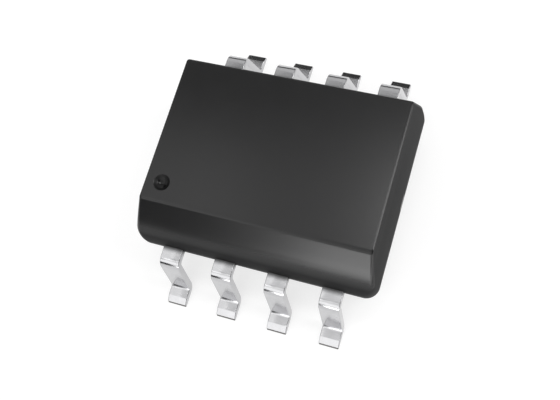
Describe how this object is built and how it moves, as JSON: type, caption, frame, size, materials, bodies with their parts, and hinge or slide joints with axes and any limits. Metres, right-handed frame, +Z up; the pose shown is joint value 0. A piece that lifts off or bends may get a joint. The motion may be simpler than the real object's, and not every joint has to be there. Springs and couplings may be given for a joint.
{
  "type": "small-outline integrated circuit",
  "caption": "Surface-mount chip: black moulded body with a bevelled pin-one edge and dimple, bent gull-wing leads on both long sides, and a wire-bonded die on a lead frame inside.",
  "frame": {"origin": "on the board, under the middle of the body", "axes": "+X along the lead rows, away from the pin-one end; +Y across the body, from the first row of leads to the second; +Z up, from the board to the top face"},
  "size_m": [0.0058, 0.0068, 0.0024],
  "materials": {
    "mould_compound": "fine satin from the mould",
    "tinned_lead": "bright tin plate",
    "copper_frame": "rolled copper alloy",
    "die_adhesive": "silver-filled adhesive",
    "silicon": "polished wafer",
    "gold_wire": "bright drawn wire"
  },
  "bodies": {
    "root": {"body": "mould_compound", "lead_1": "tinned_lead", "lead_2": "tinned_lead", "lead_3": "tinned_lead", "lead_4": "tinned_lead", "lead_5": "tinned_lead", "lead_6": "tinned_lead", "lead_7": "tinned_lead", "lead_8": "tinned_lead", "die_paddle": "copper_frame", "die_attach": "die_adhesive", "die": "silicon", "bond_wire_1": "gold_wire", "bond_wire_2": "gold_wire", "bond_wire_3": "gold_wire", "bond_wire_4": "gold_wire", "bond_wire_5": "gold_wire", "bond_wire_6": "gold_wire", "bond_wire_7": "gold_wire", "bond_wire_8": "gold_wire"}
  },
  "joints": []
}
